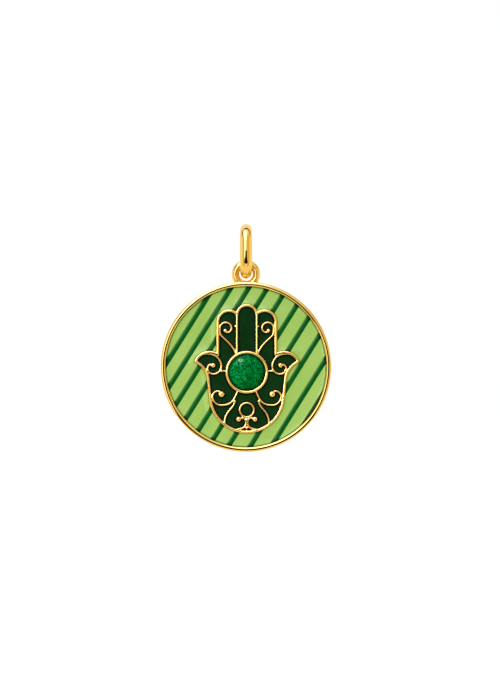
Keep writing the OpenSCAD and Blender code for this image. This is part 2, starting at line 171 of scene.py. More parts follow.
def scrollPaths():
    # lines of the right half with the width of each, and their beads
    s, palmLoop = scrolls, wires["palmLoop"]
    loopSide = sideX - wallW - wireW / 2 + lap
    loop = loopSide - wireW / 2 - wires["gap"] - middleR
    start = Vector((loopSide, sideTop - hand["tipR"] - s["fingerDown"] * loop))
    curl = chain(start, 90, scaled(s["fingerCurl"], loop))
    drop = chain(start - Vector((0, s["fingerStraight"] * loop)), 270, scaled(s["fingerTurn"], loop))
    fingerFoot = stoneAt + polar(bezelMidR, s["fingerFoot"])
    leave, arrive = s["fingerHeadings"]
    tail = [start] + drop + bend(drop[-1], leave, fingerFoot, arrive, s["fingerPull"])[1:]

    leave, arrive = s["thumbHeadings"]
    thumbEye = thumbAt + Vector((0, s["thumbEye"] * thumbR - wallW - wireW / 2 + lap))
    thumbStart = thumbAt + polar(thumbR - wallW / 2 - lap, s["thumbMouth"])
    thumbBend = thumbEye + polar(s["thumbLoop"] * thumbR, arrive - 90)
    thumbTop = bend(thumbStart, leave, thumbBend, arrive, s["thumbPull"])
    thumbTop += chain(thumbBend, arrive, scaled([(s["thumbLoop"], s["thumbTurn"])], thumbR))[1:]
    under = chain(thumbTop[-1], 270, scaled(s["thumbUnder"], thumbR))
    thumbCurl = chain(under[-1], 90, scaled(s["thumbCurl"], thumbR))
    nubStart = chain(thumbTop[-1], 270, scaled(s["thumbUnder"][:1], thumbR), s["thumbNubStep"])[2]
    nubEnd = stoneAt + polar(bezelMidR, bearing(stoneAt, nubStart))

    palmStart = heel + Vector((palmR - wallW - wireW / 2 - lap, -s["palmDown"]))
    palmCurl = chain(palmStart, 90, scaled(s["palmCurl"], palmLoop))
    palmTurn = chain(palmStart, 270, scaled(s["palmTurn"], palmLoop))
    leave, arrive = s["palmHeadings"]
    sweepBend = bend(palmTurn[-1], leave, stoneAt + polar(bezelMidR, s["palmFoot"]), arrive, s["palmPull"])
    join = sweepBend[len(sweepBend) // 2]
    footStart = join + palmLoop * Vector(s["footStart"])
    footKnee = footStart + palmLoop * Vector(s["footKnee"])
    footEnd = heel + polar(palmR - wallW / 2, s["footEnd"])
    leave, through, arrive = s["footHeadings"]
    foot = bend(footStart, leave, footKnee, through, s["footPull"])
    foot += bend(footKnee, through, footEnd, arrive, s["footPull"])[1:]

    waist = Vector((wireW / 2 - lap / 2, knotFoot + s["waist"] * knotH))
    arm = chain(waist, 90, scaled(s["armTurn"], knotH))
    armBead = arm[-1] + polar(s["armOut"][0] * knotH, s["armOut"][1])
    low = chain(waist - Vector((0, s["lowDown"] * knotH)), 270, scaled(s["lowTurn"], knotH))
    lowEnd = low[-1] + polar(s["lowOut"][0] * knotH, s["lowOut"][1])

    nubZ = sideTop - hand["tipR"] - s["fingerNubDown"] * loop
    fingerNub = [Vector((barX, nubZ)), Vector((middleR + wires["gap"] / 2, nubZ))]
    whole = [curl, tail, thumbTop, under, thumbCurl, palmCurl, palmTurn + sweepBend[1:], foot,
             arm + [armBead], low + [lowEnd], [waist, low[0]]]
    lines = [(path, 1) for path in whole] + [([nubStart, nubEnd], s["thumbNubW"]), (fingerNub, s["fingerNubW"])]
    nubBead = nubStart + polar(wireW, bearing(nubStart, nubEnd))
    ends = [curl[-1], thumbCurl[-1], palmCurl[-1], armBead, nubBead, footStart]
    return lines, list(zip(ends, s["beads"]))


# how every piece is made
creaseAngle = math.radians(35)   # an edge that turns by more stays sharp


def newPiece(name, bm, body="medallion"):
    bmesh.ops.recalc_face_normals(bm, faces=bm.faces)
    mesh = bpy.data.meshes.new(name)
    bm.to_mesh(mesh)
    bm.free()
    mesh.shade_smooth()
    piece = bpy.data.objects.new(name, mesh)
    scene.collection.objects.link(piece)
    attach(piece, body)
    return piece


def sweepWire(bm, path, width, low, high, closed=False, segments=12):
    # a round-topped wire along a path in the plane of the disc
    radius, count = width / 2, len(path)
    lift = max((high - low) / 2 - radius, 0)
    frames = []
    for i, p in enumerate(path):
        a = path[i - 1] if closed or i else path[0]
        b = path[(i + 1) % count] if closed or i < count - 1 else path[-1]
        t = (b - a).normalized()
        m = Matrix(((-t.y, 0, t.x), (0, -1, 0), (t.x, 0, t.y))).to_4x4()
        m.translation = Vector((p.x, -(low + high) / 2, p.y))
        frames.append(m)
    ring = bmesh.ops.create_circle(bm, segments=segments, radius=radius)["verts"]
    for v in ring:
        v.co.y += lift if v.co.y > 0 else -lift
    firstEdges = list({e for v in ring for e in v.link_edges})
    bmesh.ops.transform(bm, matrix=frames[0], verts=ring)
    edges = firstEdges
    for a, b in zip(frames, frames[1:]):
        made = bmesh.ops.extrude_edge_only(bm, edges=edges)["geom"]
        verts = {g for g in made if isinstance(g, bmesh.types.BMVert)}
        edges = [g for g in made if isinstance(g, bmesh.types.BMEdge) and verts.issuperset(g.verts)]
        bmesh.ops.transform(bm, matrix=b @ a.inverted(), verts=list(verts))
    if closed:
        bmesh.ops.bridge_loops(bm, edges=firstEdges + edges)
    else:
        bmesh.ops.edgeloop_fill(bm, edges=firstEdges)
        bmesh.ops.edgeloop_fill(bm, edges=edges)


def addBead(bm, p, radius, level, flat=1.0):
    made = bmesh.ops.create_uvsphere(bm, u_segments=20, v_segments=12, radius=radius)["verts"]
    bmesh.ops.scale(bm, vec=(1, flat, 1), verts=made)
    bmesh.ops.translate(bm, vec=(p.x, -level, p.y), verts=made)


def mirroredPoints(path): return [Vector((-p.x, p.y)) for p in path]


# gold lines of the hand, soldered together
goldwork = dict(voxel=0.046, smoothing=12, wallSwell=0.044, wireSwell=0.018, barW=0.29, barFoot=2.2, barSteps=20,
                wireHigh=1.09, wireLow=0.84, wallLow=0.56, thinLower=0.1,   # levels to the front
                beadSwell=1.12, beadLift=0.25, beadFlat=0.8, knotBeads=(0.28, 0.85), knotBeadR=0.65,
                knotBeadLift=0.05, stemLow=0.8, stemHigh=1.0, bezelLow=0.66, slabTop=0.62, weld=1e-7)


def buildGoldwork():
    bm = bmesh.new()
    top, swell = hand["topLevel"], goldwork["wireSwell"]
    lines, beads = scrollPaths()
    for flip in (False, True):
        turn = mirroredPoints if flip else (lambda path: path)
        for path in outlinePaths():
            sweepWire(bm, turn(path), wallW + goldwork["wallSwell"], goldwork["wallLow"], top)
            for end in (path[0], path[-1]):
                addBead(bm, turn([end])[0], wallW / 2, top - wallW / 2)
        low, high, steps = stoneAt.y + goldwork["barFoot"], topZ - middleR, goldwork["barSteps"]
        bar = [Vector((barX, low + k * (high - low) / steps)) for k in range(steps + 1)]
        sweepWire(bm, turn(bar), goldwork["barW"], goldwork["wireLow"], top)
        for path, share in lines:
            wireTop = goldwork["wireHigh"] - goldwork["thinLower"] * (1 - share)
            sweepWire(bm, turn(path), wireW * share + swell, goldwork["wireLow"], wireTop)
        for at, share in beads:
            radius = wireW * share * goldwork["beadSwell"]
            level = hand["poolLevel"] + goldwork["beadLift"] * radius
            addBead(bm, turn([at])[0], radius + swell / 2, level, goldwork["beadFlat"])
    knotBeads = [Vector((0, knotFoot + share * knotH)) for share in goldwork["knotBeads"]]
    for at in knotBeads:
        addBead(bm, at, goldwork["knotBeadR"] * wireW + swell, hand["poolLevel"] + goldwork["knotBeadLift"])
    sweepWire(bm, [Vector((0, knotFoot)), knotBeads[0]], wireW / 2, goldwork["stemLow"], goldwork["stemHigh"])
    ring = ringPoints(ringAt, ringR, 5)
    sweepWire(bm, ring, wireW + swell, goldwork["wireLow"], goldwork["wireHigh"], closed=True)
    bmesh.ops.recalc_face_normals(bm, faces=bm.faces)
    rough = bpy.data.meshes.new("roughLines")
    bm.to_mesh(rough)
    bm.free()
    holder = bpy.data.objects.new("roughLines", rough)
    scene.collection.objects.link(holder)
    # the remesher works better near unit size, so the lines are still in millimetres here
    remesh = holder.modifiers.new("solder", "REMESH")
    remesh.mode, remesh.voxel_size, remesh.use_smooth_shade = "VOXEL", goldwork["voxel"], True
    done = bpy.data.meshes.new_from_object(holder.evaluated_get(bpy.context.evaluated_depsgraph_get()))
    bpy.data.objects.remove(holder)
    bm = bmesh.new()
    bm.from_mesh(done)
    for _ in range(goldwork["smoothing"]):
        bmesh.ops.smooth_vert(bm, verts=bm.verts, factor=0.5, use_axis_x=True, use_axis_y=True, use_axis_z=True)
    bezel = ringPoints(stoneAt, bezelMidR, 3)
    sweepWire(bm, bezel, gem["bezelW"], goldwork["bezelLow"], gem["bezelLevel"], closed=True, segments=24)
    bmesh.ops.translate(bm, vec=(hand["shift"], 0, disc["centreZ"]), verts=bm.verts)
    # the slab under the enamel pools comes from the solid itself
    slab = bmesh.new()
    slab.from_mesh(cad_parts["hand_frame"].data)
    bmesh.ops.remove_doubles(slab, verts=slab.verts, dist=goldwork["weld"])
    bmesh.ops.scale(slab, vec=(1 / mm,) * 3, verts=slab.verts)
    cut = bmesh.ops.bisect_plane(slab, geom=slab.verts[:] + slab.edges[:] + slab.faces[:], dist=1e-4,
                                 plane_co=(0, -goldwork["slabTop"], 0), plane_no=(0, -1, 0),
                                 clear_outer=True)["geom_cut"]
    bmesh.ops.holes_fill(slab, edges=[g for g in cut if isinstance(g, bmesh.types.BMEdge)])
    spare = bpy.data.meshes.new("slab")
    slab.to_mesh(spare)
    slab.free()
    bm.from_mesh(spare)
    bmesh.ops.scale(bm, vec=(mm,) * 3, verts=bm.verts)
    piece = newPiece("handGoldwork", bm)
    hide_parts("hand_frame")
    print("goldwork:", sum(len(f.vertices) - 2 for f in piece.data.polygons), "triangles")
    return piece


# the bail's bent wire, and the disc with its rim and eyelet
bail = dict(top=1.46, height=7.1, depth=5.0, wire=1.46, middleSwell=0.07, endThin=0.09, around=40, arcSteps=36,
            ray=(0.96, 0.28))   # direction from a side arc's centre through an end arc's to where they join
mount = dict(back=-0.9, plate=-0.1, rimW=0.7, rimCrown=0.3, rimSquare=2.6, rimInside=1.25, around=240, beadSteps=24,
             eyeletZ=-5.02, eyeletR=1.36, eyeletWire=0.96, eyeletAround=96, eyeletSegments=32)


def spinOn(bm, geom, centre, axis, angle, steps):
    made = bmesh.ops.spin(bm, geom=geom, cent=centre, axis=axis, dvec=(0, 0, 0), angle=math.radians(angle),
                          steps=steps, use_merge=False, use_duplicate=False)
    return made["geom_last"]


def spinWhole(bm, geom, steps, centre=(0, 0, 0)):
    bmesh.ops.spin(bm, geom=geom, cent=centre, axis=(0, 1, 0), dvec=(0, 0, 0), angle=2 * math.pi,
                   steps=steps, use_merge=True, use_duplicate=False)


def buildBail():
    bm = bmesh.new()
    across, up = bail["ray"]
    spread = (bail["height"] - bail["depth"]) / 2 / (across + up - 1)
    endR = (bail["height"] - bail["wire"]) / 2 - spread * up
    middleZ = bail["top"] - bail["height"] / 2
    ends = math.degrees(math.atan2(up, across))
    ring = bmesh.ops.create_circle(bm, segments=bail["around"], radius=bail["wire"] / 2)["verts"]
    start = Matrix.Rotation(math.radians(ends), 4, "X") @ Matrix.Translation((0, endR, 0))
    bmesh.ops.transform(bm, matrix=Matrix.Translation((0, 0, middleZ + spread * up)) @ start, verts=ring)
    geom = ring + list({e for v in ring for e in v.link_edges})
    for side in (1, -1):
        geom = spinOn(bm, geom, (0, 0, middleZ + side * spread * up), (1, 0, 0), 180 - 2 * ends, bail["arcSteps"])
        geom = spinOn(bm, geom, (0, side * spread * across, middleZ), (1, 0, 0), 2 * ends, bail["arcSteps"] // 2)
    bmesh.ops.remove_doubles(bm, verts=bm.verts, dist=1e-4)
    for v in bm.verts:   # the wire is a little fatter halfway up
        v.co.x *= 1 + bail["middleSwell"] - bail["endThin"] * ((v.co.z - middleZ) / bail["height"] * 2) ** 2
    bmesh.ops.scale(bm, vec=(mm,) * 3, verts=bm.verts)
    piece = newPiece("bailWire", bm, "bail")
    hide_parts("bail")
    return piece


def buildMedallion():
    bm = bmesh.new()
    bead = mount["rimW"] / 2
    beadX, lowBead = disc["radius"] - bead, -(mount["back"] + bead)
    foot = bm.verts.new((beadX, -mount["back"], 0))
    hub = bm.verts.new((0, -mount["back"], 0))
    bm.edges.new((hub, foot))
    last = spinOn(bm, [foot], (beadX, lowBead, 0), (0, 0, 1), -90, mount["beadSteps"])
    shoulder = -(disc["crestLevel"] - mount["rimCrown"])
    side = bm.verts.new((disc["radius"], shoulder, 0))
    bm.edges.new((last[0], side))
    last = spinOn(bm, [side], (beadX, shoulder, 0), (0, 0, 1), -180, 2 * mount["beadSteps"])
    square = mount["rimSquare"]
    for v in bm.verts:   # the crown is squarer than a half circle, and steeper to the enamel
        if v.co.y < shoulder:
            share = abs(v.co.x - beadX) / bead
            share = min(share if v.co.x > beadX else share * mount["rimInside"], 1)
            v.co.y = shoulder - mount["rimCrown"] * (1 - share ** square) ** (1 / square)
    wall = bm.verts.new((disc["fieldRadius"], -mount["plate"], 0))
    face = bm.verts.new((0, -mount["plate"], 0))
    bm.edges.new((last[0], wall))
    bm.edges.new((wall, face))
    spinWhole(bm, bm.verts[:] + bm.edges[:], mount["around"])
    bmesh.ops.remove_doubles(bm, verts=bm.verts, dist=1e-5)
    bmesh.ops.translate(bm, vec=(0, 0, disc["centreZ"]), verts=bm.verts)
    loop = bmesh.ops.create_circle(bm, segments=mount["eyeletSegments"], radius=mount["eyeletWire"] / 2)["verts"]
    bmesh.ops.translate(bm, vec=(mount["eyeletR"], 0, mount["eyeletZ"]), verts=loop)
    loopEdges = list({e for v in loop for e in v.link_edges})
    spinWhole(bm, loop + loopEdges, mount["eyeletAround"], (0, 0, mount["eyeletZ"]))
    bmesh.ops.scale(bm, vec=(mm,) * 3, verts=bm.verts)
    piece = newPiece("discAndEyelet", bm)
    piece.data.set_sharp_from_angle(angle=creaseAngle)
    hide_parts("medallion")
    return piece


def buildStone():
    # a low dome of the stone on a straight girdle, seated in the bezel
    bm = bmesh.new()
    radius, rise = gem["diameter"] / 2, gem["dome"]
    domeR = (radius * radius + rise * rise) / (2 * rise)
    crown = -(gem["bezelLevel"] - gem["bezelW"] / 4 + rise)
    top = bm.verts.new((0, crown, 0))
    spread = math.degrees(math.asin(radius / domeR))
    last = spinOn(bm, [top], (0, crown + domeR, 0), (0, 0, 1), spread, gem["domeSteps"])
    base, hub = bm.verts.new((radius, -gem["seat"], 0)), bm.verts.new((0, -gem["seat"], 0))
    bm.edges.new((last[0], base))
    bm.edges.new((base, hub))
    spinWhole(bm, bm.verts[:] + bm.edges[:], gem["around"])
    bmesh.ops.remove_doubles(bm, verts=bm.verts, dist=1e-4)
    bmesh.ops.translate(bm, vec=(stoneAt.x + hand["shift"], 0, disc["centreZ"] + stoneAt.y), verts=bm.verts)
    bmesh.ops.scale(bm, vec=(mm,) * 3, verts=bm.verts)
    piece = newPiece("greenCabochon", bm)
    piece.data.set_sharp_from_angle(angle=creaseAngle)
    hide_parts("stone")
    return piece


# enamel, drawn up a little where it meets gold
enamel = dict(pitch=0.1, handRise=0.26, handReach=0.45, rimRise=0.1, rimReach=0.3, depth=0.25, under=0.2,
              margin=0.3, rayFrom=-10, outlineStep=0.03, weld=1e-7,
              stripePitch=0.12, stripeAcross=10, stripeSink=0.01,
              poolPitch=0.07, poolRise=0.03, poolReach=0.09, poolUnder=0.11, poolInset=0.02, poolEdgeStep=0.02)


def makeTree(points):
    tree = KDTree(len(points))
    for i, p in enumerate(points):
        tree.insert((p.x, p.y, 0), i)
    tree.balance()
    return tree


def densePoints(paths, step):
    out = []
    for path in paths:
        for a, b in zip(path, path[1:]):
            count = max(1, int((b - a).length / step))
            out += [a.lerp(b, k / count) for k in range(count)]
        out.append(path[-1])
    return out


# the hand's whole outline and its solid, to measure the enamel from
halfOutline = outlinePaths()
wholeOutline = densePoints(halfOutline + [mirroredPoints(path) for path in halfOutline], enamel["outlineStep"])
outlineTree = makeTree([p + Vector((hand["shift"], 0)) for p in wholeOutline])
handSolid = bmesh.new()
handSolid.from_mesh(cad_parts["hand_frame"].data)
handCover = BVHTree.FromBMesh(handSolid)
handSolid.free()


def covers(solidTree, x, z):
    # whether the solid lies behind this place on the face
    before = Vector((x, enamel["rayFrom"], disc["centreZ"] + z)) * mm
    return solidTree.ray_cast(before, Vector((0, 1, 0)))[0] is not None


def wallGaps(x, z):
    # distances to the rim and to the hand's outline, less than nothing inside them
    toHand = outlineTree.find((x, z, 0))[2] - wallW / 2
    if covers(handCover, x, z):
        toHand = -abs(toHand)
    return disc["fieldRadius"] - math.hypot(x, z), toHand


def wallGap(x, z):
    return max(min(wallGaps(x, z)), 0)


def meniscus(gap, rise, reach):
    return rise * math.exp(-max(gap, 0) / reach)


def drawnUp(gaps):
    atRim = meniscus(gaps[0], enamel["rimRise"], enamel["rimReach"])
    return atRim + meniscus(gaps[1], enamel["handRise"], enamel["handReach"])


def closeSkin(bm, depth):
    # gives a skin its thickness, from its face down
    made = bmesh.ops.extrude_face_region(bm, geom=bm.faces[:], use_keep_orig=True)["geom"]
    bmesh.ops.translate(bm, vec=(0, depth, 0), verts=[g for g in made if isinstance(g, bmesh.types.BMVert)])


def finishEnamel(bm, name, node, gaps):
    layer = bm.verts.layers.float.new("wallGap")
    for v in bm.verts:
        v[layer] = gaps(v.co.x, v.co.z - disc["centreZ"])
    bmesh.ops.scale(bm, vec=(mm,) * 3, verts=bm.verts)
    piece = newPiece(name, bm)
    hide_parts(node)
    return piece


def buildField():
    bm = bmesh.new()
    r = disc["fieldRadius"]
    count = int(2 * r / enamel["pitch"])
    bmesh.ops.create_grid(bm, x_segments=count, y_segments=count, size=r + enamel["margin"])
    bmesh.ops.rotate(bm, cent=(0, 0, 0), matrix=Matrix.Rotation(math.radians(90), 3, "X"), verts=bm.verts)
    gaps = {v: wallGaps(v.co.x, v.co.z) for v in bm.verts}
    bmesh.ops.delete(bm, geom=[v for v, g in gaps.items() if min(g) < -enamel["under"]], context="VERTS")
    for v in bm.verts:
        v.co.y = -(disc["fieldLevel"] + drawnUp(gaps[v]))
        v.co.z += disc["centreZ"]
    closeSkin(bm, enamel["depth"])
    return finishEnamel(bm, "fieldEnamel", "light_enamel", wallGap)


def dome(across):
    # rise of a stripe's face over its edges
    w, rise = stripes["width"], stripes["crown"]
    radius = (w * w / 4 + rise * rise) / (2 * rise)
    return math.sqrt(max(radius * radius - across * across, 0)) - (radius - rise)


def buildStripe(index):
    bm = bmesh.new()
    w, angle = stripes["width"], math.radians(stripes["angle"])
    s = stripes["shares"][index] * disc["radius"]
    half = math.sqrt((disc["fieldRadius"] + enamel["under"]) ** 2 - max(abs(s) - w / 2, 0) ** 2)
    lengthwise = int(2 * half / enamel["stripePitch"])
    acrossLayer = bm.verts.layers.float.new("across")
    grid = bmesh.ops.create_grid(bm, x_segments=lengthwise, y_segments=enamel["stripeAcross"], size=1,
                                 calc_uvs=False)["verts"]
    for v in grid:
        along, across = v.co.x * half, v.co.y * w / 2
        x = along * math.cos(angle) + (s - across) * math.sin(angle)
        z = along * math.sin(angle) - (s - across) * math.cos(angle)
        v.co = (x, across, z)
    gaps = {v: wallGaps(v.co.x, v.co.z) for v in bm.verts}
    bmesh.ops.delete(bm, geom=[v for v, g in gaps.items() if min(g) < -enamel["under"]], context="VERTS")
    for v in bm.verts:
        v[acrossLayer] = 0.5 - v.co.y / w
        level = disc["fieldLevel"] - enamel["stripeSink"] + dome(v.co.y) + drawnUp(gaps[v])
        v.co = (v.co.x, -level, v.co.z + disc["centreZ"])
    closeSkin(bm, enamel["depth"])
    name = "stripe_%d" % (index + 1)
    return finishEnamel(bm, "stripeEnamel%d" % (index + 1), name, wallGap)


def facesFront(face): return face.normal.y < -0.5


def buildPool(node):
    solid = bmesh.new()
    solid.from_mesh(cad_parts[node].data)
    bmesh.ops.remove_doubles(solid, verts=solid.verts, dist=enamel["weld"])
    solid.normal_update()
    cover = BVHTree.FromBMesh(solid)
    # the edge of the pool is where its front face meets a side
    edges = [e for e in solid.edges if len(e.link_faces) == 2 and sum(map(facesFront, e.link_faces)) == 1]
    runs = [[Vector((v.co.x / mm, v.co.z / mm - disc["centreZ"])) for v in e.verts] for e in edges]
    tree = makeTree(densePoints(runs, enamel["poolEdgeStep"]))
    solid.free()
    low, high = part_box(node)
    sizeX, sizeZ = (high.x - low.x) / mm + enamel["margin"], (high.z - low.z) / mm + enamel["margin"]
    midX, midZ = (high.x + low.x) / 2 / mm, (high.z + low.z) / 2 / mm - disc["centreZ"]
    pitch = enamel["poolPitch"]

    def poolGap(x, z):
        away = tree.find((x, z, 0))[2]
        return away if covers(cover, x, z) else -away

    bm = bmesh.new()
    countX, countZ = max(2, int(sizeX / pitch)), max(2, int(sizeZ / pitch))
    grid = bmesh.ops.create_grid(bm, x_segments=countX, y_segments=countZ, size=0.5)["verts"]
    for v in grid:
        v.co = (midX + v.co.x * sizeX, 0, midZ + v.co.y * sizeZ)
    gaps = {v: poolGap(v.co.x, v.co.z) for v in bm.verts}
    bmesh.ops.delete(bm, geom=[v for v, g in gaps.items() if g < -enamel["poolUnder"]], context="VERTS")
    for v in bm.verts:
        rise = meniscus(gaps[v] + enamel["poolInset"], enamel["poolRise"], enamel["poolReach"])
        v.co.y = -(hand["poolLevel"] + rise)
        v.co.z += disc["centreZ"]
    closeSkin(bm, enamel["depth"])
    words = node.split("_")
    name = words[0] + "".join(w.capitalize() for w in words[1:])
    return finishEnamel(bm, name, node, lambda x, z: max(poolGap(x, z), 0))


# materials
def srgb(r, g, b):
    return tuple(((c / 255 + 0.055) / 1.055) ** 2.4 if c > 10.3 else c / 255 / 12.92 for c in (r, g, b)) + (1.0,)


class Strand:
    # one socket, on which sums are written as sums
    def __init__(self, paint, socket):
        self.paint, self.socket = paint, socket

    def math(self, operation, *others):
        return self.paint.node("ShaderNodeMath", dict(operation=operation), dict(enumerate((self,) + others)))

    def __add__(self, other): return self.math("ADD", other)
    def __radd__(self, other): return self.math("ADD", other)
    def __sub__(self, other): return self.math("SUBTRACT", other)
    def __rsub__(self, other): return self.math("MULTIPLY_ADD", -1.0, other)
    def __mul__(self, other): return self.math("MULTIPLY", other)
    def __rmul__(self, other): return self.math("MULTIPLY", other)


class Paint:
    # a material, or the world, and the one way in which its nodes are made
    def __init__(self, name, world=None):
        self.material = world or bpy.data.materials.new(name)
        self.material.use_nodes = True
        self.tree = self.material.node_tree
        self.tree.nodes.clear()
        self.output = self.tree.nodes.new("ShaderNodeOutputWorld" if world else "ShaderNodeOutputMaterial")

    def node(self, kind, settings=None, inputs=None, out=0):
        made = self.tree.nodes.new(kind)
        for key, value in (settings or {}).items():
            if key == "stops":
                ramp = made.color_ramp
                while len(ramp.elements) < len(value):
                    ramp.elements.new(0.5)
                for element, (at, colour) in zip(ramp.elements, value):
                    element.position, element.color = at, colour
            else:
                setattr(made, key, value)
        for key, value in (inputs or {}).items():
            if isinstance(value, Strand):
                self.tree.links.new(value.socket, made.inputs[key])
            else:
                made.inputs[key].default_value = value
        return Strand(self, made.outputs[out])

    def coords(self): return self.node("ShaderNodeTexCoord", out="Object")
    def attribute(self, name): return self.node("ShaderNodeAttribute", dict(attribute_name=name), out="Fac")

    def noise(self, size, detail=3.0, rough=0.5):
        # size of its grain in millimetres
        sockets = dict(Vector=self.coords(), Scale=1 / (size * mm), Detail=detail, Roughness=rough)
        return self.node("ShaderNodeTexNoise", dict(noise_dimensions="3D"), sockets, out="Fac")

    def mix(self, factor, a, b):
        return self.node("ShaderNodeMix", dict(data_type="RGBA"), {0: factor, 6: a, 7: b}, out=2)

    def ramp(self, factor, stops): return self.node("ShaderNodeValToRGB", dict(stops=stops), dict(Fac=factor))

    def smooth(self, value, low, high):
        # runs from 0 to 1 between low and high
        return self.node("ShaderNodeMapRange", dict(interpolation_type="SMOOTHSTEP"),
                         {"Value": value, "From Min": low, "From Max": high})

    def bump(self, height, strength, distance):
        return self.node("ShaderNodeBump", None, dict(Height=height, Strength=strength, Distance=distance * mm))

    def shader(self, **inputs):
        names = dict(colour="Base Color", metallic="Metallic", roughness="Roughness", normal="Normal",
                     specular="Specular IOR Level")
        made = self.node("ShaderNodeBsdfPrincipled", None, {names[k]: v for k, v in inputs.items()})
        self.tree.links.new(made.socket, self.output.inputs["Surface"])
        return self.material


goldFinish = dict(pale=(0.96, 0.69, 0.25, 1), warm=(0.95, 0.67, 0.22, 1), rich=(1.0, 0.66, 0.23, 1),
                  polished=0.05, satin=0.15, drift=2.4, grain=0.3, smoothest=0.85, uneven=0.3)


def goldPaint(name, tones, roughness):
    p = Paint(name)
    drift = p.noise(goldFinish["drift"], 2.0)
    colour = p.mix(p.smooth(drift, 0.3, 0.7), goldFinish[tones[0]], goldFinish[tones[1]])
    rough = roughness * (goldFinish["smoothest"] + goldFinish["uneven"] * p.noise(goldFinish["grain"], 3.0, 0.6))
    return p.shader(colour=colour, metallic=1.0, roughness=rough)


# the pale enamel's edge colour is painted shade along the rim and the hand's walls
lightGlaze = dict(tones=(srgb(174, 215, 112), srgb(166, 210, 105)), cloud=3.5, cloudDetail=2.0,
                  edge=srgb(96, 138, 44), edgeFrom=0.0, edgeTo=0.16, wave=1.4, waveDeep=0.02,
                  roughness=0.06, uneven=0.04, specular=0.3)
# the dark enamel's edge colour is painted shade and a painted dark reflection of the gold, near black along the
# wires
darkGlaze = dict(tones=(srgb(17, 56, 22), srgb(12, 46, 18)), cloud=1.8, cloudDetail=3.0,
                 edge=srgb(1, 5, 2), edgeFrom=0.04, edgeTo=0.3, wave=0.8, waveDeep=0.01,
                 roughness=0.08, uneven=0.04, specular=0.12)


def glazePaint(name, glaze):
    # clouded enamel, with painted shade darkening it along the gold, and a slow wave in its gloss
    p = Paint(name)
    cloud = p.noise(glaze["cloud"], glaze["cloudDetail"])
    colour = p.mix(p.smooth(cloud, 0.3, 0.7), *glaze["tones"])
    # painted shade along the gold, measured by the wallGap distance
    edge = p.smooth(p.attribute("wallGap"), glaze["edgeFrom"], glaze["edgeTo"])
    colour = p.mix(edge, glaze["edge"], colour)
    normal = p.bump(p.noise(glaze["wave"], 2.0), 0.10, glaze["waveDeep"])
    roughness = glaze["roughness"] + glaze["uneven"] * p.noise(0.4)
    return p.shader(colour=colour, roughness=roughness, normal=normal, specular=glaze["specular"])


# a stripe's colour runs across it, from a painted sheen of light on its pale upper left side; its ends take painted
# shade by the rim and the hand
stripeGlaze = dict(stops=[(0.0, srgb(150, 190, 100)), (0.1, srgb(104, 154, 80)), (0.22, srgb(60, 124, 60)),
                          (0.36, srgb(30, 104, 44)), (0.5, srgb(9, 92, 28)), (0.64, srgb(3, 90, 27)),
                          (1.0, srgb(10, 106, 32))],
                   waver=0.08, edge=srgb(3, 44, 14), edgeTo=0.45, roughness=0.10, uneven=0.06, specular=0.08)


def stripePaint():
    p = Paint("stripeGreenEnamel")
    # the ramp's pale first stops are a painted sheen of light
    across = p.attribute("across") + (p.noise(0.9, 2.0) - 0.5) * stripeGlaze["waver"]
    colour = p.ramp(across, stripeGlaze["stops"])
    # painted shade at the stripe's ends, where it meets the rim and the hand
    edge = p.smooth(p.attribute("wallGap"), 0.0, stripeGlaze["edgeTo"])
    colour = p.mix(edge, stripeGlaze["edge"], colour)
    roughness = stripeGlaze["roughness"] + stripeGlaze["uneven"] * p.noise(0.3)
    return p.shader(colour=colour, roughness=roughness, specular=stripeGlaze["specular"])


# the stone is speckled, with painted light making it lighter to the upper left, and a band of painted shade along
# the bezel
stoneLook = dict(cell=0.14, grain=0.13, cloud=1.3, speckShare=0.66, fineShare=0.7, broadShare=0.3,
                 leftLighter=0.045, upLighter=0.03, darker=0.4,
                 stops=[(0.1, srgb(0, 62, 18)), (0.32, srgb(0, 96, 32)), (0.5, srgb(0, 124, 48)),
                        (0.68, srgb(3, 156, 76)), (0.9, srgb(30, 200, 124))],
                 band=srgb(0, 38, 14), bandFrom=0.42, bandTo=0.02, roughness=0.1, uneven=0.03, specular=0.01)


def stonePaint():
    p = Paint("greenStone")
    where = p.coords()
    axes = [p.node("ShaderNodeSeparateXYZ", None, dict(Vector=where), out=axis) for axis in ("X", "Z")]
    x, z = (axis * (1 / mm) for axis in axes)
    x = x - (stoneAt.x + hand["shift"])   # measured from the stone's middle
    z = z - (disc["centreZ"] + stoneAt.y)
    look = stoneLook
    cells = p.node("ShaderNodeTexVoronoi", dict(feature="F1"),
                   dict(Vector=where, Scale=1 / (look["cell"] * mm), Randomness=1.0), out="Color")
    speck = p.node("ShaderNodeSeparateColor", None, dict(Color=cells))
    fine = p.noise(look["grain"], 3.0, 0.65)
    broad = p.noise(look["cloud"], 2.0)
    tone = speck * look["speckShare"] + fine * look["fineShare"] + broad * look["broadShare"]
    # painted light: the tone rises towards the upper left
    tone = tone - x * look["leftLighter"] + z * look["upLighter"] - look["darker"]
    colour = p.ramp(tone, look["stops"])
    fromMiddle = (x * x + z * z).math("SQRT")
    # a band of painted shade along the bezel
    band = p.smooth(fromMiddle, bezelInR - look["bandFrom"], bezelInR - look["bandTo"])
    colour = p.mix(band, colour, look["band"])
    return p.shader(colour=colour, roughness=look["roughness"] + look["uneven"] * broad, specular=look["specular"])


